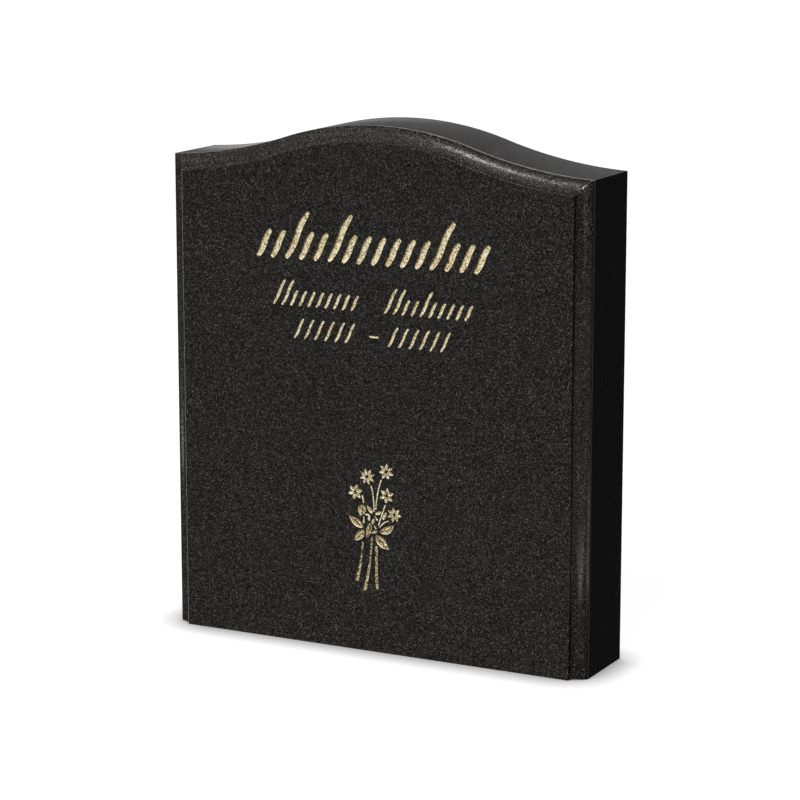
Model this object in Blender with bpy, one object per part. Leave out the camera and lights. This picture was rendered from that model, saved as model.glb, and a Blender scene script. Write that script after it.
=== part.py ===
"""Upright memorial tablet of polished black granite.

One slab that stands on its flat underside. It has straight sides and a serpentine top, a round crown between two
hollow sweeps. A moulding of a step and an ogee runs up both sides and over the top of the front. Three rows of
shallow strokes and a flower sprig are cut in the face. X runs across the slab, Y from its front to its back and Z
up, and the origin is at the middle of the underside. Lengths are in metres.
"""
import math

import bmesh
import bpy
from mathutils import Vector

# Slab
WIDTH = 0.500
THICKNESS = 0.100
SHOULDER_HEIGHT = 0.529  # at the two outer corners
CROWN_RISE = 0.043  # from the outer corners up to the middle of the crown
CROWN_TURN = 0.112  # from the middle out to where the crown turns into the sweep
SHOULDER_SLOPE = math.radians(2.4)  # what is left of the sweep's slope at the outer corners
ARRIS = 0.0008  # chamfer on the long edges

# Moulding, measured from the slab's sides and top inwards and from the face back
MOULDING_WIDTH = 0.0165
MOULDING_DEPTH = 0.0147
STEP_DEPTH = 0.0037
HOLLOW_REACH = 0.43  # the ogee's two handles, as shares of its width and of its depth
HOLLOW_FALL = 0.58
ROUND_REACH = 0.84
ROUND_FALL = 0.42

# Cuts in general
CUT_SLOPE = 0.42  # depth for each unit of half width
CUT_LEAST_DEPTH = 0.0003

# Cross sections from one rim to the other, as (share of the half width, share of the depth)
TRAY = [(-1.0, 0.0), (-0.78, 1.0), (0.78, 1.0), (1.0, 0.0)]
PETAL = [(-1.0, 0.0), (0.0, 1.0), (1.0, 0.0)]
LEAF = [(-1.0, 0.0), (-0.68, 1.0), (0.0, 0.5), (0.68, 1.0), (1.0, 0.0)]
STEM = [(-1.0, 0.0), (-0.4, 1.0), (0.4, 1.0), (1.0, 0.0)]

# Strokes
STROKE_LEAN = 0.55  # sideways run for each unit of height
STROKE_BEND = 0.03  # sideways swing of a stroke's middle line, as a share of its height
STROKE_TIP = 0.25  # width of a stroke's two ends, as a share of its widest part
STROKE_FULLNESS = 3.0  # 2 swells as an ellipse does, more keeps the width nearer to the ends

# First row: one line
FIRST_ROW_DROP = 0.1465  # from the top of the crown down to the row's base line
FIRST_ROW_LENGTH = 0.277
FIRST_ROW_TALL = 0.0515
FIRST_ROW_LOW = 0.0300
FIRST_ROW_HALF_WIDTH = 0.0036  # of a stroke at its middle
FIRST_ROW_STROKES = 16
FIRST_ROW_TALLS = (2, 5, 12)  # which strokes are tall, counted from 0 at the left

# Second row: two groups on one base line
SECOND_ROW_DROP = 0.1975
SECOND_ROW_LENGTH = 0.239
SECOND_ROW_GAP = 0.031
SECOND_ROW_TALL = 0.0275
SECOND_ROW_LOW = 0.0165
SECOND_ROW_HALF_WIDTH = 0.0018
SECOND_ROW_STROKES = 10
SECOND_ROW_LEFT_TALLS = (0, 1)
SECOND_ROW_RIGHT_TALLS = (0, 1, 4)

# Third row: two groups with a level dash between them
THIRD_ROW_DROP = 0.233
THIRD_ROW_LENGTH = 0.188
THIRD_ROW_GAP = 0.040
THIRD_ROW_HEIGHT = 0.0215
THIRD_ROW_HALF_WIDTH = 0.0016
THIRD_ROW_STROKES = 6
DASH_LENGTH = 0.0115
DASH_HALF_WIDTH = 0.0011
DASH_X = 0.003  # its middle, to the right of the slab's
DASH_HEIGHT = 0.0090  # above the row's base line
DASH_SHAPE = [(-0.5, 0.25), (-0.45, 1.0), (0.45, 1.0), (0.5, 0.25)]  # share of the length, of the half width

# Colours
GRANITE_COLOUR = (0.021, 0.0205, 0.019)
GRANITE_ROUGHNESS = 0.3
GILDING_COLOUR = (0.66, 0.44, 0.17)
GILDING_ROUGHNESS = 0.35
GILDING_METALLIC = 0.9

# Flower sprig, drawn in units of which SPRIG_UNITS make its height
SPRIG_FOOT = 0.067  # from the underside up to the lowest stem
SPRIG_HEIGHT = 0.143
SPRIG_UNITS = 143
LOBE_TIP = 0.15  # half the width of both ends of a petal or leaf
PETAL_START = 0.15  # the petals' inner ends, as a share of the flower's radius
PETAL_FULLNESS = 0.38  # half the width of a petal, as a share of the room between its neighbours at the rim
PETAL_SKEW = 0.9  # over 1 puts the widest part of a petal or leaf beyond its middle
PETAL_POWER = 1.2  # over 1 makes its ends finer
LEAF_SKEW = 0.8
LEAF_POWER = 1.0
FLOWERS = [
    # x, z, radius, petals, turn of the first petal in degrees
    (-5.6, 127.9, 9.4, 8, -16),
    (17.4, 135.4, 9.2, 7, 6),
    (-20.1, 109.4, 9.0, 6, 14),
    (18.0, 109.1, 8.8, 6, 8),
    (27.3, 89.0, 8.9, 7, -8),
]
LEAVES = [
    # x and z of the base, x and z of the tip, half width, bend of the middle to the left on the way to the tip
    (-10.2, 71.2, -27.9, 82.4, 4.3, 0.6),
    (-9.6, 68.3, -22.0, 55.0, 4.2, 0.7),
    (-1.6, 77.0, -6.0, 59.0, 3.0, 0.0),
    (9.6, 68.3, 26.8, 77.4, 4.0, -2.0),
    (5.2, 64.2, 21.0, 49.8, 5.0, -1.1),
    (-10.8, 96.3, -13.6, 83.5, 4.7, 0.0),
]
LEAFLETS = [
    # x and z of the base, x and z of the tip, half width
    (1.4, 87.4, -6.2, 96.2, 2.1),
    (4.3, 87.3, 12.0, 90.4, 1.9),
    (2.4, 82.2, 0.6, 75.4, 1.7),
    (13.4, 82.0, 17.7, 91.0, 1.9),
    (6.8, 68.9, -0.6, 65.4, 1.5),
]
STEMS = [
    # three points from the upper end to the lower one, half width at each end
    ((-0.8, 118.2), (3.0, 106.0), (2.7, 89.6), 0.8, 0.7),
    ((11.7, 126.2), (6.3, 112.0), (4.8, 92.5), 0.7, 0.8),
    ((16.6, 98.6), (11.8, 87.0), (8.3, 75.2), 0.8, 0.7),
    ((20.4, 81.6), (13.1, 78.9), (9.6, 73.0), 0.6, 0.6),
    ((-11.7, 106.4), (-10.6, 103.0), (-10.0, 98.4), 0.9, 0.9),
    ((-9.6, 83.2), (-9.8, 79.0), (-9.9, 75.6), 0.9, 0.9),
    ((-8.2, 85.3), (-1.2, 88.0), (-4.0, 79.4), 0.8, 1.7),
    ((3.6, 85.4), (5.0, 83.2), (7.0, 80.6), 0.7, 1.0),
    ((2.8, 74.2), (4.4, 72.4), (5.6, 70.9), 0.6, 0.9),
    ((-10.8, 55.5), (-12.2, 33.0), (-18.8, 10.0), 0.9, 2.3),
    ((0.3, 61.0), (-1.3, 31.0), (-9.0, 0.0), 1.0, 2.1),
    ((5.7, 52.0), (5.1, 28.0), (6.5, 3.6), 1.5, 1.7),
]

# Fineness of the facets
CROWN_STEPS = 8
SWEEP_STEPS = 8
OGEE_STEPS = 9
STROKE_STEPS = 6
LOBE_STEPS = 5
STEM_STEPS = 4

FACE = -THICKNESS / 2
CROWN_TOP = SHOULDER_HEIGHT + CROWN_RISE
CUTTER_LIP = 0.0001  # how far the cutter stands out of the face


def clear_scene():
    for item in list(bpy.data.objects):
        bpy.data.objects.remove(item, do_unlink=True)


def make_material(name, colour, roughness, metallic):
    material = bpy.data.materials.new(name)
    material.use_nodes = True
    shader = material.node_tree.nodes["Principled BSDF"]
    shader.inputs["Base Color"].default_value = (*colour, 1.0)
    shader.inputs["Roughness"].default_value = roughness
    shader.inputs["Metallic"].default_value = metallic
    return material


def make_object(name, mesh_builder, material):
    mesh = bpy.data.meshes.new(name)
    bmesh.ops.recalc_face_normals(mesh_builder, faces=mesh_builder.faces)
    mesh_builder.to_mesh(mesh)
    mesh_builder.free()
    mesh.materials.append(material)
    made = bpy.data.objects.new(name, mesh)
    bpy.context.scene.collection.objects.link(made)
    return made


def top_arcs():
    """The angle at which crown and sweep meet on a shared tangent, and the radius of each."""
    reach = WIDTH / 2 - CROWN_TURN
    tilt = math.tan(SHOULDER_SLOPE / 2)
    drop = CROWN_RISE - reach * tilt
    spread = WIDTH / 2 + CROWN_RISE * tilt
    angle = 2 * math.atan(2 * drop / (spread + math.sqrt(spread ** 2 - 4 * CROWN_TURN * tilt * drop)))
    crown_radius = CROWN_TURN / math.sin(angle)
    sweep_radius = reach / (math.sin(angle) - math.sin(SHOULDER_SLOPE))
    return angle, crown_radius, sweep_radius


def outline(inset):
    """The slab's outline from foot to foot as (x, z), moved in by inset from the sides and the top."""
    angle, crown_radius, sweep_radius = top_arcs()
    side = WIDTH / 2 - inset
    crown_z = CROWN_TOP - crown_radius
    sweep_x = CROWN_TURN + sweep_radius * math.sin(angle)
    sweep_z = crown_z + (crown_radius + sweep_radius) * math.cos(angle)
    crown_arc = crown_radius - inset
    sweep_arc = sweep_radius + inset
    corner = math.asin((sweep_x - side) / sweep_arc)
    right = [(side, 0.0)]
    for step in range(SWEEP_STEPS + 1):
        at = corner + (angle - corner) * step / SWEEP_STEPS
        right.append((sweep_x - sweep_arc * math.sin(at), sweep_z - sweep_arc * math.cos(at)))
    for step in range(1, CROWN_STEPS):
        at = angle * (1 - step / CROWN_STEPS)
        right.append((crown_arc * math.sin(at), crown_z + crown_arc * math.cos(at)))
    left = [(-x, z) for x, z in reversed(right)]
    return right + [(0.0, crown_z + crown_arc)] + left


def ogee():
    """The moulding's curve from the foot of the step to the slab's side, as shares of its width and depth."""
    handles = [(0.0, 0.0), (HOLLOW_REACH, HOLLOW_FALL), (ROUND_REACH, ROUND_FALL), (1.0, 1.0)]
    points = []
    for step in range(OGEE_STEPS + 1):
        t = step / OGEE_STEPS
        weights = [(1 - t) ** 3, 3 * t * (1 - t) ** 2, 3 * t ** 2 * (1 - t), t ** 3]
        points.append([sum(w * h[axis] for w, h in zip(weights, handles)) for axis in (0, 1)])
    return points


def edge_section():
    """The slab's edge from the face round to the back, as (inset, y)."""
    shelf = FACE + STEP_DEPTH
    back = FACE + THICKNESS
    points = [(MOULDING_WIDTH + ARRIS, FACE), (MOULDING_WIDTH, FACE + ARRIS)]
    for reach, fall in ogee():
        points.append((MOULDING_WIDTH * (1 - reach), shelf + (MOULDING_DEPTH - STEP_DEPTH) * fall))
    points += [(0.0, back - ARRIS), (ARRIS, back)]
    return points


def make_slab(material):
    slab = bmesh.new()
    rings = []
    for inset, y in edge_section():
        rings.append([slab.verts.new((x, y, z)) for x, z in outline(inset)])
    for near, far in zip(rings, rings[1:]):
        for i in range(len(near)):
            j = (i + 1) % len(near)
            slab.faces.new((near[i], near[j], far[j], far[i]))
    slab.faces.new(rings[0])
    slab.faces.new(list(reversed(rings[-1])))
    return make_object("tablet", slab, material)


def cut_sections(path, half_widths, section):
    """The cross section at each point of the path, with its rims carried on a little way out of the face."""
    rows = []
    last = len(path) - 1
    for i, (point, half) in enumerate(zip(path, half_widths)):
        middle = Vector(point)
        along = (Vector(path[min(i + 1, last)]) - Vector(path[max(i - 1, 0)])).normalized()
        across = Vector((-along.y, along.x))
        deepest = max(half * CUT_SLOPE, CUT_LEAST_DEPTH)
        row = []
        for side, depth in section:
            place = middle + across * (half * side)
            row.append(Vector((place.x, FACE + deepest * depth, place.y)))
        for rim, beside in ((0, 1), (-1, -2)):
            row[rim] += (row[rim] - row[beside]).normalized() * CUTTER_LIP
        rows.append(row)
    return rows


def add_cut(cutter, path, half_widths, section):
    """One cut: path is its middle line on the face as (x, z), with half its width at each point."""
    rings = []
    for row in cut_sections(path, half_widths, section):
        rings.append([cutter.verts.new(point) for point in row])
    for near, far in zip(rings, rings[1:]):
        for i in range(len(near)):
            j = (i + 1) % len(near)
            cutter.faces.new((near[i], near[j], far[j], far[i]))
    cutter.faces.new(rings[0])
    cutter.faces.new(list(reversed(rings[-1])))


def cut_stroke(cutter, foot_x, foot_z, height, half_width):
    """A leaning stroke with a light S-bend, narrower at both ends."""
    path = []
    widths = []
    for step in range(STROKE_STEPS + 1):
        share = (1 - math.cos(math.pi * step / STROKE_STEPS)) / 2
        fullness = (1 - abs(2 * share - 1) ** STROKE_FULLNESS) ** (1 / STROKE_FULLNESS)
        swing = STROKE_BEND * height * math.sin(2 * math.pi * share)
        path.append((foot_x + STROKE_LEAN * height * share + swing, foot_z + height * share))
        widths.append(half_width * (STROKE_TIP + (1 - STROKE_TIP) * fullness))
    add_cut(cutter, path, widths, TRAY)


def cut_group(cutter, left, right, base, heights, half_width):
    """Strokes at even distances, from the first one's foot at left to the last one's head at right."""
    pitch = (right - left - STROKE_LEAN * heights[-1]) / (len(heights) - 1)
    for i, height in enumerate(heights):
        cut_stroke(cutter, left + pitch * i, base, height, half_width)


def row_heights(strokes, talls, tall, low):
    return [tall if i in talls else low for i in range(strokes)]


def cut_first_row(cutter):
    base = CROWN_TOP - FIRST_ROW_DROP
    heights = row_heights(FIRST_ROW_STROKES, FIRST_ROW_TALLS, FIRST_ROW_TALL, FIRST_ROW_LOW)
    cut_group(cutter, -FIRST_ROW_LENGTH / 2, FIRST_ROW_LENGTH / 2, base, heights, FIRST_ROW_HALF_WIDTH)


def cut_second_row(cutter):
    base = CROWN_TOP - SECOND_ROW_DROP
    inner, outer = SECOND_ROW_GAP / 2, SECOND_ROW_LENGTH / 2
    for left, right, talls in ((-outer, -inner, SECOND_ROW_LEFT_TALLS), (inner, outer, SECOND_ROW_RIGHT_TALLS)):
        heights = row_heights(SECOND_ROW_STROKES, talls, SECOND_ROW_TALL, SECOND_ROW_LOW)
        cut_group(cutter, left, right, base, heights, SECOND_ROW_HALF_WIDTH)


def cut_third_row(cutter):
    base = CROWN_TOP - THIRD_ROW_DROP
    heights = [THIRD_ROW_HEIGHT] * THIRD_ROW_STROKES
    inner, outer = THIRD_ROW_GAP / 2, THIRD_ROW_LENGTH / 2
    cut_group(cutter, -outer, -inner, base, heights, THIRD_ROW_HALF_WIDTH)
    cut_group(cutter, inner, outer, base, heights, THIRD_ROW_HALF_WIDTH)
    path = [(DASH_X + DASH_LENGTH * along, base + DASH_HEIGHT) for along, _ in DASH_SHAPE]
    add_cut(cutter, path, [DASH_HALF_WIDTH * width for _, width in DASH_SHAPE], TRAY)


def on_face(x, z):
    """A point of the sprig's drawing, on the slab's face."""
    scale = SPRIG_HEIGHT / SPRIG_UNITS
    return (x * scale, SPRIG_FOOT + z * scale)


def cut_lobe(cutter, base, tip, skew, power, section, half_width, bend=0.0):
    """A petal or a leaf, pointed at both ends."""
    base, tip = Vector(base), Vector(tip)
    aside = Vector((base.y - tip.y, tip.x - base.x)).normalized() * bend
    scale = SPRIG_HEIGHT / SPRIG_UNITS
    path = []
    widths = []
    for step in range(LOBE_STEPS + 1):
        share = step / LOBE_STEPS
        swell = abs(math.sin(math.pi * share ** skew)) ** power
        path.append(on_face(*(base + (tip - base) * share + aside * math.sin(math.pi * share))))
        widths.append(scale * (LOBE_TIP + half_width * swell))
    add_cut(cutter, path, widths, section)


def cut_flower(cutter, x, z, radius, petals, turn):
    centre = Vector((x, z))
    half_width = PETAL_FULLNESS * radius * math.tan(math.pi / petals)
    for i in range(petals):
        at = math.radians(turn) + 2 * math.pi * i / petals
        out = Vector((math.sin(at), math.cos(at))) * radius
        cut_lobe(cutter, centre + out * PETAL_START, centre + out, PETAL_SKEW, PETAL_POWER, PETAL, half_width)


def cut_stem(cutter, upper, middle, lower, upper_half, lower_half):
    """A bent stem that widens most towards its lower end."""
    scale = SPRIG_HEIGHT / SPRIG_UNITS
    path = []
    widths = []
    for step in range(STEM_STEPS + 1):
        t = step / STEM_STEPS
        weights = [(1 - t) ** 2, 2 * t * (1 - t), t ** 2]
        x, z = [sum(w * p[axis] for w, p in zip(weights, (upper, middle, lower))) for axis in (0, 1)]
        path.append(on_face(x, z))
        widths.append(scale * (upper_half + (lower_half - upper_half) * t ** 2))
    add_cut(cutter, path, widths, STEM)


def cut_sprig(cutter):
    for flower in FLOWERS:
        cut_flower(cutter, *flower)
    for leaves, section in ((LEAVES, LEAF), (LEAFLETS, PETAL)):
        for base_x, base_z, tip_x, tip_z, *size in leaves:
            cut_lobe(cutter, (base_x, base_z), (tip_x, tip_z), LEAF_SKEW, LEAF_POWER, section, *size)
    for stem in STEMS:
        cut_stem(cutter, *stem)


def make_cutter(material):
    cutter = bmesh.new()
    cut_first_row(cutter)
    cut_second_row(cutter)
    cut_third_row(cutter)
    cut_sprig(cutter)
    made = make_object("carving_cutter", cutter, material)
    made.hide_render = True
    made.display_type = 'WIRE'
    return made


def make_tablet():
    granite = make_material("black_granite", GRANITE_COLOUR, GRANITE_ROUGHNESS, 0.0)
    gilding = make_material("gilding", GILDING_COLOUR, GILDING_ROUGHNESS, GILDING_METALLIC)
    tablet = make_slab(granite)
    cutter = make_cutter(gilding)
    carve = tablet.modifiers.new("carving", 'BOOLEAN')
    carve.operation = 'DIFFERENCE'
    carve.solver = 'EXACT'
    carve.material_mode = 'TRANSFER'
    carve.object = cutter
    carve.use_self = True


clear_scene()
make_tablet()
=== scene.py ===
"""Looks of the upright memorial tablet: polished black granite, gilded cuts, a pale studio and the camera."""

import math

import bmesh
import bpy
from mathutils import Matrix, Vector


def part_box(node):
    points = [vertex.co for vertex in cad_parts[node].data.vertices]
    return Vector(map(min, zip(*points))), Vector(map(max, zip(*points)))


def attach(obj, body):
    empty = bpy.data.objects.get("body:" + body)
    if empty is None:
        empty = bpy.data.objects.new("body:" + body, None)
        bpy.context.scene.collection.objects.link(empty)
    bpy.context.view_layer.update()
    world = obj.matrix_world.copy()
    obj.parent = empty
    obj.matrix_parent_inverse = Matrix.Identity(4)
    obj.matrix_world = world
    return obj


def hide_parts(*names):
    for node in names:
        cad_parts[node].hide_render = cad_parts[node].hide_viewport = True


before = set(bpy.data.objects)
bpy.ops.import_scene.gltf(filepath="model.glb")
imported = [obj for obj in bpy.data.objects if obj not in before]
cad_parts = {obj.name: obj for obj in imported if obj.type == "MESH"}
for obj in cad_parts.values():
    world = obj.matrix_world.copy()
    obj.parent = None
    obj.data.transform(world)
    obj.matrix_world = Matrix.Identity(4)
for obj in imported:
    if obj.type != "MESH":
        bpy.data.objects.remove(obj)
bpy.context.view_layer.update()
SLAB_LOW, SLAB_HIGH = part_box("tablet")

# Slab, in metres, with its overall sizes read from the frame
WIDTH = SLAB_HIGH.x - SLAB_LOW.x
THICKNESS = SLAB_HIGH.y - SLAB_LOW.y
CROWN_TOP = SLAB_HIGH.z
FACE = SLAB_LOW.y
CROWN_RISE = 0.043  # from the outer corners up to the middle of the crown
CROWN_TURN = 0.112  # from the middle out to where the crown turns into the sweep
SHOULDER_SLOPE = math.radians(2.4)  # what is left of the sweep's slope at the outer corners
ARRIS = 0.0008  # radius of the long edges
RIM = 0.0008  # how much further back than the moulding its outer strip, paled by a painted highlight, runs

# Moulding, measured from the slab's sides and top inwards and from the face back
MOULDING_WIDTH = 0.0165
MOULDING_DEPTH = 0.0147
STEP_DEPTH = 0.0037
HOLLOW_REACH = 0.43  # the ogee's two handles, as shares of its width and of its depth
HOLLOW_FALL = 0.58
ROUND_REACH = 0.84
ROUND_FALL = 0.42

# Painted highlight, which pales the granite, from 0 for none to 1 for the moulding's outer strip
STRIP_HIGHLIGHT = [(0.0, 0.0), (0.1, 1.0), (0.9, 1.0), (1.0, 0.0)]  # share of the strip's width, painted highlight
LINE_HIGHLIGHT = 1.4  # painted highlight on the inner arris of the left upright
LINE_HALF_WIDTH = 0.4  # as a share of the arris
HIGHLIGHT_BRIGHTNESS = 0.18

# Cuts in general
CUT_SLOPE = 0.42  # depth for each unit of half width
CUT_LEAST_DEPTH = 0.0003
CUTTER_LIP = 0.0001  # how far the cutter stands out of the face
GILDING_THICKNESS = 0.00008

# Strokes
STROKE_LEAN = 0.55  # sideways run for each unit of height
STROKE_BEND = 0.03  # sideways swing of a stroke's middle line, as a share of its height
STROKE_TIP = 0.25  # width of a stroke's two ends, as a share of its widest part
STROKE_FULLNESS = 3.0  # 2 swells as an ellipse does, more keeps the width nearer to the ends

# First row: one line
FIRST_ROW_DROP = 0.1465  # from the top of the crown down to the row's base line
FIRST_ROW_LENGTH = 0.277
FIRST_ROW_TALL = 0.0515
FIRST_ROW_LOW = 0.0300
FIRST_ROW_HALF_WIDTH = 0.0036  # of a stroke at its middle
FIRST_ROW_STROKES = 16
FIRST_ROW_TALLS = (2, 5, 12)  # which strokes are tall, counted from 0 at the left

# Second row: two groups on one base line
SECOND_ROW_DROP = 0.1975
SECOND_ROW_LENGTH = 0.239
SECOND_ROW_GAP = 0.031
SECOND_ROW_TALL = 0.0275
SECOND_ROW_LOW = 0.0165
SECOND_ROW_HALF_WIDTH = 0.0018
SECOND_ROW_STROKES = 10
SECOND_ROW_LEFT_TALLS = (0, 1)
SECOND_ROW_RIGHT_TALLS = (0, 1, 4)

# Third row: two groups with a level dash between them
THIRD_ROW_DROP = 0.233
THIRD_ROW_LENGTH = 0.188
THIRD_ROW_GAP = 0.040
THIRD_ROW_HEIGHT = 0.0215
THIRD_ROW_HALF_WIDTH = 0.0016
THIRD_ROW_STROKES = 6
DASH_LENGTH = 0.0115
DASH_HALF_WIDTH = 0.0011
DASH_X = 0.003  # its middle, to the right of the slab's
DASH_HEIGHT = 0.0090  # above the row's base line
DASH_SHAPE = [(-0.5, 0.25), (-0.45, 1.0), (0.45, 1.0), (0.5, 0.25)]  # share of the length, of the half width

# Flower sprig, drawn in units of which SPRIG_UNITS make its height
SPRIG_FOOT = 0.067  # from the underside up to the lowest stem
SPRIG_HEIGHT = 0.143
SPRIG_UNITS = 143
LOBE_TIP = 0.15  # half the width of both ends of a petal or leaf
PETAL_START = 0.15  # the petals' inner ends, as a share of the flower's radius
PETAL_FULLNESS = 0.38  # half the width of a petal, as a share of the room between its neighbours at the rim
PETAL_SKEW = 0.9  # over 1 puts the widest part of a petal or leaf beyond its middle
PETAL_POWER = 1.2  # over 1 makes its ends finer
LEAF_SKEW = 0.8
LEAF_POWER = 1.0
FLOWERS = [
    # x, z, radius, petals, turn of the first petal in degrees
    (-5.6, 127.9, 9.4, 8, -16),
    (17.4, 135.4, 9.2, 7, 6),
    (-20.1, 109.4, 9.0, 6, 14),
    (18.0, 109.1, 8.8, 6, 8),
    (27.3, 89.0, 8.9, 7, -8),
]
LEAVES = [
    # x and z of the base, x and z of the tip, half width, bend of the middle to the left towards the tip
    (-10.2, 71.2, -27.9, 82.4, 4.3, 0.6),
    (-9.6, 68.3, -22.0, 55.0, 4.2, 0.7),
    (-1.6, 77.0, -6.0, 59.0, 3.0, 0.0),
    (9.6, 68.3, 26.8, 77.4, 4.0, -2.0),
    (5.2, 64.2, 21.0, 49.8, 5.0, -1.1),
    (-10.8, 96.3, -13.6, 83.5, 4.7, 0.0),
]
LEAFLETS = [
    # x and z of the base, x and z of the tip, half width
    (1.4, 87.4, -6.2, 96.2, 2.1),
    (4.3, 87.3, 12.0, 90.4, 1.9),
    (2.4, 82.2, 0.6, 75.4, 1.7),
    (13.4, 82.0, 17.7, 91.0, 1.9),
    (6.8, 68.9, -0.6, 65.4, 1.5),
]
TWIGS = [
    # three points from the upper end to the lower one, half width at each end
    ((-0.8, 118.2), (3.0, 106.0), (2.7, 89.6), 0.8, 0.7),
    ((11.7, 126.2), (6.3, 112.0), (4.8, 92.5), 0.7, 0.8),
    ((16.6, 98.6), (11.8, 87.0), (8.3, 75.2), 0.8, 0.7),
    ((20.4, 81.6), (13.1, 78.9), (9.6, 73.0), 0.6, 0.6),
    ((-11.7, 106.4), (-10.6, 103.0), (-10.0, 98.4), 0.9, 0.9),
    ((-9.6, 83.2), (-9.8, 79.0), (-9.9, 75.6), 0.9, 0.9),
    ((-8.2, 85.3), (-1.2, 88.0), (-4.0, 79.4), 0.8, 1.7),
    ((3.6, 85.4), (5.0, 83.2), (7.0, 80.6), 0.7, 1.0),
    ((2.8, 74.2), (4.4, 72.4), (5.6, 70.9), 0.6, 0.9),
]
STEMS = [
    # the three lower ones, as the twigs above
    ((-10.8, 55.5), (-12.2, 33.0), (-18.8, 10.0), 0.9, 2.3),
    ((0.3, 61.0), (-1.3, 31.0), (-9.0, 0.0), 1.0, 2.1),
    ((5.7, 52.0), (5.1, 28.0), (6.5, 3.6), 1.5, 1.7),
]

# Cross sections of the cuts, as (share of the half width, share of the depth, painted light and shade on the
# gilding: low values paint shade into creases, mid-ribs and the strokes' edges, high values paint highlight
# on the leaves' rims and lit walls)
TRAY = [(-1.0, 0.0, 0.35), (-0.78, 1.0, 0.80), (0.78, 1.0, 0.80), (1.0, 0.0, 0.35)]
PETAL = [(-1.0, 0.0, 0.50), (-0.55, 0.75, 0.95), (0.0, 1.0, 0.35), (0.55, 0.75, 0.95), (1.0, 0.0, 0.50)]
LEAF = [
    (-1.0, 0.0, 0.7), (-0.80, 0.45, 1.2), (-0.66, 1.0, -0.1), (-0.38, 0.8, 0.75), (0.0, 0.5, -0.1),
    (0.38, 0.8, 0.75), (0.66, 1.0, -0.1), (0.80, 0.45, 1.2), (1.0, 0.0, 0.7),
]
TWIG = [(-1.0, 0.0, 0.80), (-0.4, 0.9, 0.90), (0.4, 0.9, 0.90), (1.0, 0.0, 0.80)]
STEM = [(-1.0, 0.0, 0.50), (-0.4, 0.9, 0.38), (0.4, 0.9, 0.38), (1.0, 0.0, 0.50)]

# Fineness of the mesh
CROWN_STEPS = 40
SWEEP_STEPS = 40
OGEE_STEPS = 28
ARRIS_STEPS = 5
STROKE_STEPS = 16
LOBE_STEPS = 14
STEM_STEPS = 14
SHARP_ANGLE = math.radians(30)
FLAT_AXIS = 0.9999999  # a face whose normal lies this near to an axis counts as flat

# Granite
CRYSTAL_SCALE = 1500.0  # crystals in a metre
CRYSTAL_COLOURS = [
    (0.0, (0.0015, 0.0014, 0.0013)),
    (0.45, (0.0084, 0.0079, 0.0072)),
    (0.80, (0.0310, 0.0293, 0.0266)),
    (0.94, (0.0640, 0.0604, 0.0548)),
    (1.0, (0.200, 0.189, 0.172)),
]
CRYSTAL_ROUGHNESS = (0.07, 0.32)
CRYSTAL_GLOSS = (0.0, 1.0)
GRANITE_IOR = 1.5

# Gilding
GILDING_SCALE = 850.0  # grains in a metre
GILDING_SPREAD = 1.15  # how much the grains differ in brightness
GILDING_COLOURS = [
    (0.0, (0.040, 0.026, 0.010)),
    (0.30, (0.23, 0.158, 0.060)),
    (0.60, (0.70, 0.54, 0.25)),
    (1.0, (1.0, 0.94, 0.69)),
]
GILDING_ROUGHNESS = 0.42
GILDING_METALLIC = 0.15
GRAIN_STRENGTH = 0.8
GRAIN_HEIGHT = 0.0004

# Studio
FLOOR_SIZE = 40.0
FLOOR_PLACE = (0, 8, 0)
FLOOR_GLOW = 0.95
FLOOR_TINT = (0.117, 0.117, 0.117, 1)
SHADOW_REACH = 0.040  # of the soft shadow round the slab's foot
SHADOW_POWER = 1.5
SHADOW_SAMPLES = 8
SUN_DISTANCE = 4
MIDDLE = (0.0, 0.0, 0.5)
SUNS = [
    # name, direction it comes from, strength, angle across in degrees
    ("key", (-0.10, -0.735, 0.67), 3.43, 38),
    ("left_fill", (-0.62, -0.66, 0.42), 0.72, 30),
    ("rear", (-0.35, 0.55, 0.76), 1.2, 30),
]
PANELS = [
    # name, place, what it faces, width, height, radiance
    ("streak_lamp", (-0.52, -3.44, 2.46), MIDDLE, 1.1, 0.32, 28.0),
    ("streak_tail_lamp", (-1.84, -3.04, 2.34), MIDDLE, 1.3, 0.20, 3.0),
    ("rear_lamp", (-0.4, 2.15, 4.1), MIDDLE, 1.7, 0.8, 5.0),
    ("rear_panel", (-2.0, 3.2, 1.6), (-2.0, 0.0, 1.6), 5.2, 3.2, 0.165),
    ("rear_low_panel", (-2.65, 3.15, 0.47), (-2.65, 0.0, 0.47), 2.7, 0.96, 0.16),
    ("rear_corner_panel", (-2.65, 3.1, 0.30), (-2.65, 0.0, 0.30), 1.36, 0.70, 0.30),
    ("upper_panel", (-1.6, -1.9, 3.7), MIDDLE, 5.0, 1.3, 0.36),
    ("left_card", (-1.9, -0.95, -0.01), (-1.9, -0.95, 1.0), 1.0, 0.8, 3.0),
    ("right_card", (0.39, -0.765, -0.01), (0.39, -0.765, 1.0), 0.22, 0.53, 1.9),
    ("far_right_card", (0.9, -0.15, -0.01), (0.9, -0.15, 1.0), 0.6, 0.3, 1.2),
    ("front_panel", (-1.0, -4.2, 2.7), MIDDLE, 9.0, 3.6, 0.16),
    ("wide_right_card", (1.5, -1.1, -0.01), (1.5, -1.1, 1.0), 1.9, 1.9, 0.21),
]
BACKDROP_COLOUR = (1, 1, 1, 1)
AMBIENT_COLOUR = (1.0, 0.93, 1.05, 1)
AMBIENT_STRENGTH = 0.030

# Camera
CAMERA_PLACE = (1.4104, -2.7229, 0.9133)
CAMERA_AZIMUTH = math.radians(27.241)
CAMERA_ELEVATION = math.radians(11.845)  # how far it looks down
FOCAL_LENGTH = 2889.7  # in pixels of a picture of PICTURE_WIDTH
PICTURE_WIDTH = 800
SENSOR_WIDTH = 36.0


def new_material(name):
    material = bpy.data.materials.new(name)
    material.use_nodes = True
    material.node_tree.nodes.clear()
    return material


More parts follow.
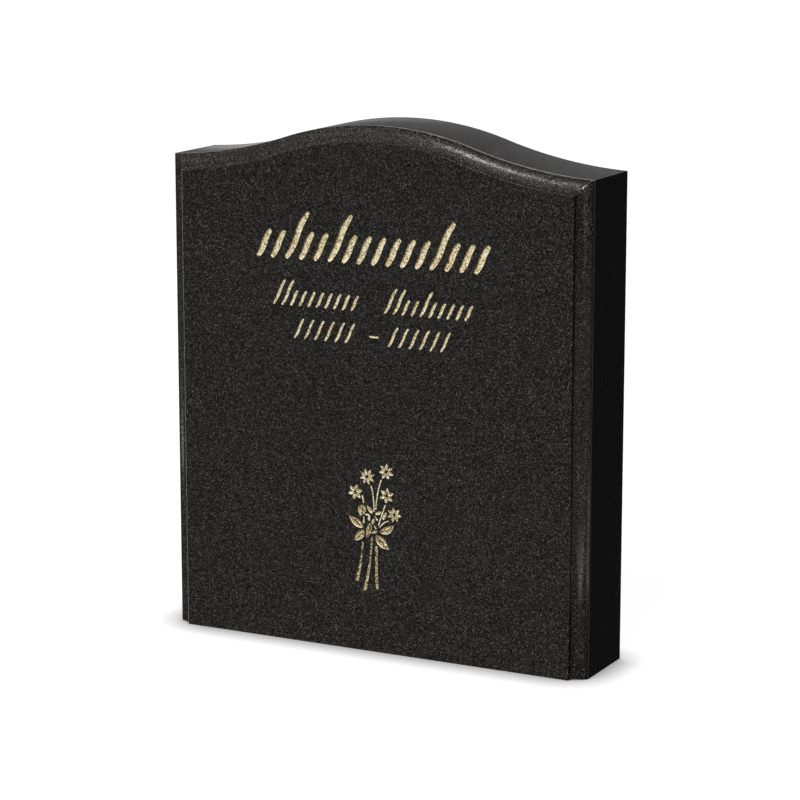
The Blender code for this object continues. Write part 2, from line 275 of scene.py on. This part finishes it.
class Nodes:
    """Short calls that add and link the nodes of a material or a world."""

    def __init__(self, owner):
        self.tree = owner.node_tree

    def add(self, kind, **settings):
        node = self.tree.nodes.new(kind)
        for name, value in settings.items():
            setattr(node, name, value)
        return node

    def link(self, source, target):
        self.tree.links.new(source, target)

    def ramp(self, source, stops):
        node = self.add("ShaderNodeValToRGB")
        elements = node.color_ramp.elements
        while len(elements) < len(stops):
            elements.new(0.5)
        for element, (place, colour) in zip(elements, stops):
            element.position = place
            element.color = (*colour, 1.0)
        self.link(source, node.inputs["Fac"])
        return node.outputs["Color"]

    def math(self, operation, a, b):
        node = self.add("ShaderNodeMath", operation=operation)
        for socket, value in zip(node.inputs, (a, b)):
            if isinstance(value, (int, float)):
                socket.default_value = value
            else:
                self.link(value, socket)
        return node.outputs["Value"]

    def cells(self, scale):
        """Three random values from 0 to 1 for each small cell of the stone, as Red, Green and Blue."""
        cells = self.add("ShaderNodeTexVoronoi", feature='F1')
        cells.inputs["Scale"].default_value = scale
        self.link(self.add("ShaderNodeTexCoord").outputs["Object"], cells.inputs["Vector"])
        parted = self.add("ShaderNodeSeparateColor")
        self.link(cells.outputs["Color"], parted.inputs["Color"])
        return parted.outputs

    def spread(self, source, low, high):
        """Carries a value that runs from 0 to 1 over to the range from low to high."""
        node = self.add("ShaderNodeMapRange")
        node.inputs["To Min"].default_value = low
        node.inputs["To Max"].default_value = high
        self.link(source, node.inputs["Value"])
        return node.outputs["Result"]

    def paled(self, colour, amount):
        """Adds white to a colour."""
        node = self.add("ShaderNodeMix", data_type='RGBA', blend_type='ADD')
        first, second = [socket for socket in node.inputs if socket.type == 'RGBA']
        self.link(amount, node.inputs["Factor"])
        self.link(colour, first)
        second.default_value = (1.0, 1.0, 1.0, 1.0)
        return [socket for socket in node.outputs if socket.type == 'RGBA'][0]


def granite_material():
    material = new_material("black_granite")
    n = Nodes(material)
    chance = n.cells(CRYSTAL_SCALE)
    colour = n.ramp(chance["Red"], CRYSTAL_COLOURS)
    # Painted highlight, added as white: on the moulding's pale outer strip and along the left upright's inner
    # arris.
    arris_highlight = n.add("ShaderNodeAttribute", attribute_name="arris_highlight")
    pale = n.math('MULTIPLY', arris_highlight.outputs["Fac"], HIGHLIGHT_BRIGHTNESS)
    shader = n.add("ShaderNodeBsdfPrincipled")
    n.link(n.paled(colour, pale), shader.inputs["Base Color"])
    n.link(n.spread(chance["Green"], *CRYSTAL_ROUGHNESS), shader.inputs["Roughness"])
    n.link(n.spread(chance["Blue"], *CRYSTAL_GLOSS), shader.inputs["Specular IOR Level"])
    shader.inputs["IOR"].default_value = GRANITE_IOR
    out = n.add("ShaderNodeOutputMaterial")
    n.link(shader.outputs["BSDF"], out.inputs["Surface"])
    return material


def gilding_material():
    material = new_material("gilding")
    n = Nodes(material)
    chance = n.cells(GILDING_SCALE)
    # Painted shade and painted highlight across each cut, from its cross section, added to the grains' random
    # brightness.
    painted_light_and_shade = n.add("ShaderNodeAttribute", attribute_name="painted_light_and_shade")
    centred = n.math('SUBTRACT', chance["Red"], 0.5)
    varied = n.math('MULTIPLY', centred, GILDING_SPREAD)
    colour = n.ramp(n.math('ADD', varied, painted_light_and_shade.outputs["Fac"]), GILDING_COLOURS)
    relief = n.add("ShaderNodeBump")
    relief.inputs["Strength"].default_value = GRAIN_STRENGTH
    relief.inputs["Distance"].default_value = GRAIN_HEIGHT
    n.link(chance["Green"], relief.inputs["Height"])
    shader = n.add("ShaderNodeBsdfPrincipled")
    n.link(colour, shader.inputs["Base Color"])
    n.link(relief.outputs["Normal"], shader.inputs["Normal"])
    shader.inputs["Roughness"].default_value = GILDING_ROUGHNESS
    shader.inputs["Metallic"].default_value = GILDING_METALLIC
    out = n.add("ShaderNodeOutputMaterial")
    n.link(shader.outputs["BSDF"], out.inputs["Surface"])
    return material


def make_object(name, builder, material):
    mesh = bpy.data.meshes.new(name)
    bmesh.ops.recalc_face_normals(builder, faces=builder.faces)
    builder.to_mesh(mesh)
    builder.free()
    mesh.materials.append(material)
    made = bpy.data.objects.new(name, mesh)
    bpy.context.scene.collection.objects.link(made)
    return made


def top_arcs():
    """The angle at which crown and sweep meet on a shared tangent, and the radius of each."""
    reach = WIDTH / 2 - CROWN_TURN
    tilt = math.tan(SHOULDER_SLOPE / 2)
    drop = CROWN_RISE - reach * tilt
    spread = WIDTH / 2 + CROWN_RISE * tilt
    angle = 2 * math.atan(2 * drop / (spread + math.sqrt(spread ** 2 - 4 * CROWN_TURN * tilt * drop)))
    crown_radius = CROWN_TURN / math.sin(angle)
    sweep_radius = reach / (math.sin(angle) - math.sin(SHOULDER_SLOPE))
    return angle, crown_radius, sweep_radius


def outline(inset):
    """The slab's outline from foot to foot as (x, z), moved in by inset from the sides and the top."""
    angle, crown_radius, sweep_radius = top_arcs()
    side = WIDTH / 2 - inset
    crown_z = CROWN_TOP - crown_radius
    sweep_x = CROWN_TURN + sweep_radius * math.sin(angle)
    sweep_z = crown_z + (crown_radius + sweep_radius) * math.cos(angle)
    crown_arc = crown_radius - inset
    sweep_arc = sweep_radius + inset
    corner = math.asin((sweep_x - side) / sweep_arc)
    right = [(side, 0.0)]
    for step in range(SWEEP_STEPS + 1):
        at = corner + (angle - corner) * step / SWEEP_STEPS
        right.append((sweep_x - sweep_arc * math.sin(at), sweep_z - sweep_arc * math.cos(at)))
    for step in range(1, CROWN_STEPS):
        at = angle * (1 - step / CROWN_STEPS)
        right.append((crown_arc * math.sin(at), crown_z + crown_arc * math.cos(at)))
    left = [(-x, z) for x, z in reversed(right)]
    return right + [(0.0, crown_z + crown_arc)] + left


def ogee():
    """The moulding's curve from the foot of the step to the slab's side, as shares of width and depth."""
    handles = [(0.0, 0.0), (HOLLOW_REACH, HOLLOW_FALL), (ROUND_REACH, ROUND_FALL), (1.0, 1.0)]
    points = []
    for step in range(OGEE_STEPS + 1):
        t = step / OGEE_STEPS
        weights = [(1 - t) ** 3, 3 * t * (1 - t) ** 2, 3 * t ** 2 * (1 - t), t ** 3]
        points.append([sum(w * h[axis] for w, h in zip(weights, handles)) for axis in (0, 1)])
    return points


def rounded(centre_inset, centre_y, start, end):
    """A quarter of a small round edge as (inset, y, no painted highlight), from one angle to the other."""
    points = []
    for step in range(ARRIS_STEPS + 1):
        at = math.radians(start + (end - start) * step / ARRIS_STEPS)
        points.append((centre_inset - ARRIS * math.sin(at), centre_y - ARRIS * math.cos(at), 0.0))
    return points


def highlit_strip(start, end):
    """A narrow flat between two points of the section, paled all over by a painted highlight but for its two
    borders.
    """
    points = []
    for share, highlight_level in STRIP_HIGHLIGHT:
        points.append((*[a + (b - a) * share for a, b in zip(start, end)], highlight_level))
    return points


def edge_section():
    """The slab's edge from the face round to the back, as (inset, y, painted highlight from 0 to 1)."""
    shelf = FACE + STEP_DEPTH
    back = FACE + THICKNESS
    curve = []
    for reach, fall in ogee():
        curve.append((MOULDING_WIDTH * (1 - reach), shelf + (MOULDING_DEPTH - STEP_DEPTH) * fall))
    points = rounded(MOULDING_WIDTH + ARRIS, FACE + ARRIS, 0, 90)
    points += [(inset, y, 0.0) for inset, y in curve[:-2]]
    points += highlit_strip(curve[-2], (0.0, FACE + MOULDING_DEPTH + RIM))
    return points + rounded(ARRIS, back - ARRIS, 90, 180)


def skin(builder, rings):
    """Joins closed rings of points into one body with a flat face at each end."""
    for near, far in zip(rings, rings[1:]):
        for i in range(len(near)):
            j = (i + 1) % len(near)
            builder.faces.new((near[i], near[j], far[j], far[i]))
    builder.faces.new(rings[0])
    builder.faces.new(list(reversed(rings[-1])))


def slab_mesh():
    """The slab before it is cut, with the painted highlight of each point."""
    slab = bmesh.new()
    arris_highlight = slab.verts.layers.float.new("arris_highlight")
    rings = []
    for inset, y, highlight_level in edge_section():
        ring = [slab.verts.new((x, y, z)) for x, z in outline(inset)]
        for vertex in ring:
            vertex[arris_highlight] = highlight_level
        # Painted highlight: the left upright's inner arris is paled along its middle.
        if abs(inset - MOULDING_WIDTH - ARRIS / 2) < ARRIS * LINE_HALF_WIDTH:
            ring[-1][arris_highlight] = LINE_HIGHLIGHT
            ring[-2][arris_highlight] = LINE_HIGHLIGHT
        rings.append(ring)
    skin(slab, rings)
    return slab


def cut_rows(path, half_widths, section, lip):
    """The cut's cross section at each point of its path, as points in space."""
    rows = []
    last = len(path) - 1
    for i, (point, half) in enumerate(zip(path, half_widths)):
        middle = Vector(point)
        along = (Vector(path[min(i + 1, last)]) - Vector(path[max(i - 1, 0)])).normalized()
        across = Vector((-along.y, along.x))
        deepest = max(half * CUT_SLOPE, CUT_LEAST_DEPTH)
        row = []
        for side, depth, _ in section:
            place = middle + across * (half * side)
            row.append(Vector((place.x, FACE + deepest * depth, place.y)))
        if lip:
            for end, beside in ((0, 1), (-1, -2)):
                row[end] += (row[end] - row[beside]).normalized() * lip
        rows.append(row)
    return rows


def add_tube(builder, rows, painted_lights_and_shades=None):
    """A body along closed cross sections, with the painted light and shade of each point."""
    layer = builder.verts.layers.float.get("painted_light_and_shade") or builder.verts.layers.float.new("painted_light_and_shade")
    rings = []
    for row in rows:
        ring = [builder.verts.new(p) for p in row]
        for vertex, painted_light_and_shade in zip(ring, painted_lights_and_shades or []):
            vertex[layer] = painted_light_and_shade
        rings.append(ring)
    skin(builder, rings)


def gild(rows):
    """A thin closed skin on the walls of a cut, a little below the face."""
    skinned = []
    for row in rows:
        top = [p - Vector((0, GILDING_THICKNESS / 2, 0)) for p in row]
        low = [p + Vector((0, GILDING_THICKNESS / 2, 0)) for p in row]
        for end, beside in ((0, 1), (-1, -2)):
            top[end] = row[end] + (row[beside] - row[end]).normalized() * GILDING_THICKNESS
            low[end] = top[end] + Vector((0, GILDING_THICKNESS / 2, 0))
        skinned.append(top + list(reversed(low)))
    return skinned


class Carving:
    """Gathers the cuts of one area: the cutter's bodies and the gilding that lines them."""

    def __init__(self, cutter):
        self.cutter = cutter
        self.gold = bmesh.new()

    def groove(self, path, half_widths, section):
        painted_lights_and_shades = [painted_light_and_shade for _, _, painted_light_and_shade in section]
        add_tube(self.cutter, cut_rows(path, half_widths, section, CUTTER_LIP))
        add_tube(self.gold, gild(cut_rows(path, half_widths, section, 0.0)), painted_lights_and_shades + painted_lights_and_shades[::-1])


def cut_stroke(carving, foot_x, foot_z, height, half_width):
    """A leaning stroke with a light S-bend, narrower at both ends."""
    path = []
    widths = []
    for step in range(STROKE_STEPS + 1):
        share = (1 - math.cos(math.pi * step / STROKE_STEPS)) / 2
        fullness = (1 - abs(2 * share - 1) ** STROKE_FULLNESS) ** (1 / STROKE_FULLNESS)
        swing = STROKE_BEND * height * math.sin(2 * math.pi * share)
        path.append((foot_x + STROKE_LEAN * height * share + swing, foot_z + height * share))
        widths.append(half_width * (STROKE_TIP + (1 - STROKE_TIP) * fullness))
    carving.groove(path, widths, TRAY)


def cut_group(carving, left, right, base, heights, half_width):
    """Strokes at even distances, from the first one's foot at left to the last one's head at right."""
    pitch = (right - left - STROKE_LEAN * heights[-1]) / (len(heights) - 1)
    for i, height in enumerate(heights):
        cut_stroke(carving, left + pitch * i, base, height, half_width)


def row_heights(strokes, talls, tall, low):
    return [tall if i in talls else low for i in range(strokes)]


def cut_first_row(carving):
    base = CROWN_TOP - FIRST_ROW_DROP
    heights = row_heights(FIRST_ROW_STROKES, FIRST_ROW_TALLS, FIRST_ROW_TALL, FIRST_ROW_LOW)
    cut_group(carving, -FIRST_ROW_LENGTH / 2, FIRST_ROW_LENGTH / 2, base, heights, FIRST_ROW_HALF_WIDTH)


def cut_second_row(carving):
    base = CROWN_TOP - SECOND_ROW_DROP
    inner, outer = SECOND_ROW_GAP / 2, SECOND_ROW_LENGTH / 2
    groups = ((-outer, -inner, SECOND_ROW_LEFT_TALLS), (inner, outer, SECOND_ROW_RIGHT_TALLS))
    for left, right, talls in groups:
        heights = row_heights(SECOND_ROW_STROKES, talls, SECOND_ROW_TALL, SECOND_ROW_LOW)
        cut_group(carving, left, right, base, heights, SECOND_ROW_HALF_WIDTH)


def cut_third_row(carving):
    base = CROWN_TOP - THIRD_ROW_DROP
    heights = [THIRD_ROW_HEIGHT] * THIRD_ROW_STROKES
    inner, outer = THIRD_ROW_GAP / 2, THIRD_ROW_LENGTH / 2
    cut_group(carving, -outer, -inner, base, heights, THIRD_ROW_HALF_WIDTH)
    cut_group(carving, inner, outer, base, heights, THIRD_ROW_HALF_WIDTH)
    path = [(DASH_X + DASH_LENGTH * along, base + DASH_HEIGHT) for along, _ in DASH_SHAPE]
    carving.groove(path, [DASH_HALF_WIDTH * width for _, width in DASH_SHAPE], TRAY)


def on_face(x, z):
    """A point of the sprig's drawing, on the slab's face."""
    scale = SPRIG_HEIGHT / SPRIG_UNITS
    return (x * scale, SPRIG_FOOT + z * scale)


def cut_lobe(carving, base, tip, skew, power, section, half_width, bend=0.0):
    """A petal or a leaf, pointed at both ends."""
    base, tip = Vector(base), Vector(tip)
    aside = Vector((base.y - tip.y, tip.x - base.x)).normalized() * bend
    scale = SPRIG_HEIGHT / SPRIG_UNITS
    path = []
    widths = []
    for step in range(LOBE_STEPS + 1):
        share = step / LOBE_STEPS
        swell = abs(math.sin(math.pi * share ** skew)) ** power
        path.append(on_face(*(base + (tip - base) * share + aside * math.sin(math.pi * share))))
        widths.append(scale * (LOBE_TIP + half_width * swell))
    carving.groove(path, widths, section)


def cut_flower(carving, x, z, radius, petals, turn):
    centre = Vector((x, z))
    half_width = PETAL_FULLNESS * radius * math.tan(math.pi / petals)
    for i in range(petals):
        at = math.radians(turn) + 2 * math.pi * i / petals
        out = Vector((math.sin(at), math.cos(at))) * radius
        start = centre + out * PETAL_START
        cut_lobe(carving, start, centre + out, PETAL_SKEW, PETAL_POWER, PETAL, half_width)


def cut_stem(carving, upper, middle, lower, upper_half, lower_half, section):
    """A bent stem that widens most towards its lower end."""
    scale = SPRIG_HEIGHT / SPRIG_UNITS
    path = []
    widths = []
    for step in range(STEM_STEPS + 1):
        t = step / STEM_STEPS
        weights = [(1 - t) ** 2, 2 * t * (1 - t), t ** 2]
        x, z = [sum(w * p[axis] for w, p in zip(weights, (upper, middle, lower))) for axis in (0, 1)]
        path.append(on_face(x, z))
        widths.append(scale * (upper_half + (lower_half - upper_half) * t ** 2))
    carving.groove(path, widths, section)


def cut_sprig(carving):
    for flower in FLOWERS:
        cut_flower(carving, *flower)
    for leaves, section in ((LEAVES, LEAF), (LEAFLETS, PETAL)):
        for base_x, base_z, tip_x, tip_z, *size in leaves:
            cut_lobe(carving, (base_x, base_z), (tip_x, tip_z), LEAF_SKEW, LEAF_POWER, section, *size)
    for twig in TWIGS:
        cut_stem(carving, *twig, TWIG)
    for stem in STEMS:
        cut_stem(carving, *stem, STEM)


AREAS = {
    "gilding_first_row": cut_first_row,
    "gilding_second_row": cut_second_row,
    "gilding_third_row": cut_third_row,
    "gilding_sprig": cut_sprig,
}


def mark_sharp(mesh):
    """Sharp edges where a flat face meets anything else and where faces meet at over SHARP_ANGLE."""
    work = bmesh.new()
    work.from_mesh(mesh)
    work.normal_update()
    flat = {f.index for f in work.faces if max(abs(c) for c in f.normal) > FLAT_AXIS}
    for edge in work.edges:
        if len(edge.link_faces) == 2:
            one, other = edge.link_faces
            mixed = (one.index in flat) != (other.index in flat)
            edge.smooth = not (mixed or edge.calc_face_angle(0.0) > SHARP_ANGLE)
    for face in work.faces:
        face.smooth = True
    work.to_mesh(mesh)
    work.free()


def make_tablet():
    granite = granite_material()
    gold = gilding_material()
    cutter_mesh = bmesh.new()
    coats = []
    for name, cut in AREAS.items():
        carving = Carving(cutter_mesh)
        cut(carving)
        coats.append(make_object(name, carving.gold, gold))
    tablet = make_object("tablet_stone", slab_mesh(), granite)
    cutter = make_object("carving_cutter", cutter_mesh, granite)
    carve = tablet.modifiers.new("carving", 'BOOLEAN')
    carve.operation = 'DIFFERENCE'
    carve.solver = 'EXACT'
    carve.object = cutter
    evaluated = tablet.evaluated_get(bpy.context.evaluated_depsgraph_get())
    carved = bpy.data.meshes.new_from_object(evaluated)
    tablet.modifiers.clear()
    tablet.data = carved
    bpy.data.objects.remove(cutter, do_unlink=True)
    mark_sharp(tablet.data)
    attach(tablet, "root")
    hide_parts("tablet")
    for coat in coats:
        mark_sharp(coat.data)
        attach(coat, "root")


def make_floor():
    """An evenly pale floor with a soft shadow round the slab's foot."""
    bpy.ops.mesh.primitive_plane_add(size=FLOOR_SIZE, location=FLOOR_PLACE)
    floor = bpy.context.object
    floor.name = "studio_floor"
    material = new_material("studio_floor")
    n = Nodes(material)
    near = n.add("ShaderNodeAmbientOcclusion", samples=SHADOW_SAMPLES)
    near.inputs["Distance"].default_value = SHADOW_REACH
    shade = n.math('POWER', near.outputs["AO"], SHADOW_POWER)
    glow = n.add("ShaderNodeEmission")
    n.link(n.math('MULTIPLY', shade, FLOOR_GLOW), glow.inputs["Strength"])
    shader = n.add("ShaderNodeBsdfDiffuse")
    shader.inputs["Color"].default_value = FLOOR_TINT
    both = n.add("ShaderNodeAddShader")
    n.link(glow.outputs["Emission"], both.inputs[0])
    n.link(shader.outputs["BSDF"], both.inputs[1])
    out = n.add("ShaderNodeOutputMaterial")
    n.link(both.outputs["Shader"], out.inputs["Surface"])
    floor.data.materials.append(material)
    floor.visible_glossy = False
    floor.visible_diffuse = False


def aim(thing, target):
    direction = Vector(target) - thing.location
    thing.rotation_euler = direction.to_track_quat('-Z', 'Y').to_euler()


def add_light(name, kind, place, target, **settings):
    """A lamp that the camera does not see."""
    light = bpy.data.lights.new(name, kind)
    for setting, value in settings.items():
        setattr(light, setting, value)
    made = bpy.data.objects.new(name, light)
    bpy.context.scene.collection.objects.link(made)
    made.location = place
    aim(made, target)
    made.visible_camera = False
    return made


def add_sun(name, direction, strength, angle):
    """A soft distant light that comes from the given direction and isn't seen in the polish."""
    place = Vector(direction) * SUN_DISTANCE
    sun = add_light(name, 'SUN', place, (0, 0, 0), energy=strength, angle=math.radians(angle))
    sun.visible_glossy = False


def add_panel(name, place, target, width, height, radiance):
    """A soft panel light of one even brightness, seen in the polish only."""
    energy = radiance * math.pi * width * height
    shape = {"shape": 'RECTANGLE', "size": width, "size_y": height}
    panel = add_light(name, 'AREA', place, target, energy=energy, **shape)
    panel.visible_diffuse = False


def make_world():
    """A white backdrop for the camera and a faint even light for everything else."""
    world = bpy.data.worlds.new("studio")
    world.use_nodes = True
    world.node_tree.nodes.clear()
    n = Nodes(world)
    seen = n.add("ShaderNodeBackground")
    seen.inputs["Color"].default_value = BACKDROP_COLOUR
    felt = n.add("ShaderNodeBackground")
    felt.inputs["Color"].default_value = AMBIENT_COLOUR
    felt.inputs["Strength"].default_value = AMBIENT_STRENGTH
    path = n.add("ShaderNodeLightPath")
    mix = n.add("ShaderNodeMixShader")
    out = n.add("ShaderNodeOutputWorld")
    n.link(path.outputs["Is Camera Ray"], mix.inputs["Fac"])
    n.link(felt.outputs["Background"], mix.inputs[1])
    n.link(seen.outputs["Background"], mix.inputs[2])
    n.link(mix.outputs["Shader"], out.inputs["Surface"])
    bpy.context.scene.world = world


def make_camera():
    data = bpy.data.cameras.new("camera")
    data.sensor_width = SENSOR_WIDTH
    data.lens = FOCAL_LENGTH / PICTURE_WIDTH * SENSOR_WIDTH
    camera = bpy.data.objects.new("camera", data)
    bpy.context.scene.collection.objects.link(camera)
    camera.location = CAMERA_PLACE
    forward = Vector((
        -math.sin(CAMERA_AZIMUTH) * math.cos(CAMERA_ELEVATION),
        math.cos(CAMERA_AZIMUTH) * math.cos(CAMERA_ELEVATION),
        -math.sin(CAMERA_ELEVATION),
    ))
    camera.rotation_euler = forward.to_track_quat('-Z', 'Y').to_euler()
    bpy.context.scene.camera = camera


make_tablet()
make_floor()
for sun in SUNS:
    add_sun(*sun)
for panel in PANELS:
    add_panel(*panel)
make_world()
make_camera()
bpy.context.scene.view_settings.view_transform = 'Standard'
